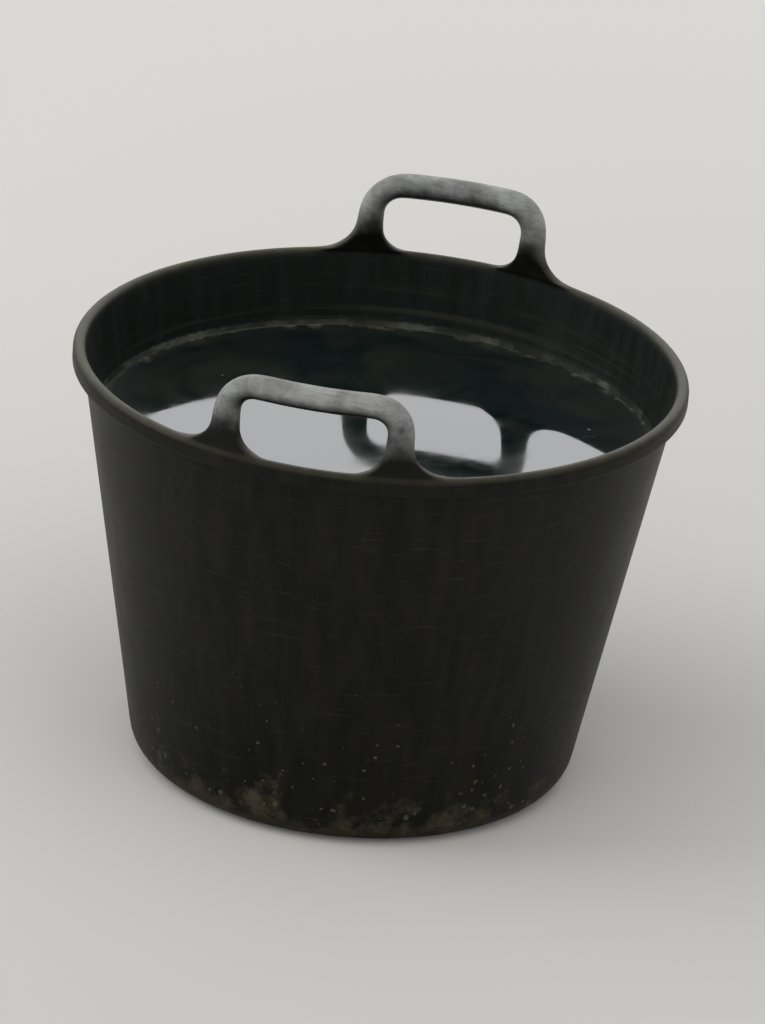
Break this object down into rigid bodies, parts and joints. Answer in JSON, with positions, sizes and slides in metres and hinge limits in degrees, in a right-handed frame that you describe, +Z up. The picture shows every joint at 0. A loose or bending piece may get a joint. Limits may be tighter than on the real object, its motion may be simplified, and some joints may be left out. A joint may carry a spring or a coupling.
{
  "type": "flexible tub",
  "caption": "Round tapered flexible plastic tub with a rolled rim and two loop handles, a trug of about 75 litres used as a water tub.",
  "frame": {"origin": "middle of the foot, on the plane that the tub stands on", "axes": "+Z up along the tub's axis; +Y towards one loop handle, the other handle is on -Y; +X to the right between the handles"},
  "size_m": [0.57, 0.575, 0.48],
  "materials": {
    "tub": "black flexible polyethylene, injection moulded, satin, with dust and dried mud splashes on the lower wall"
  },
  "bodies": {
    "root": {"tub": "tub"}
  },
  "joints": []
}
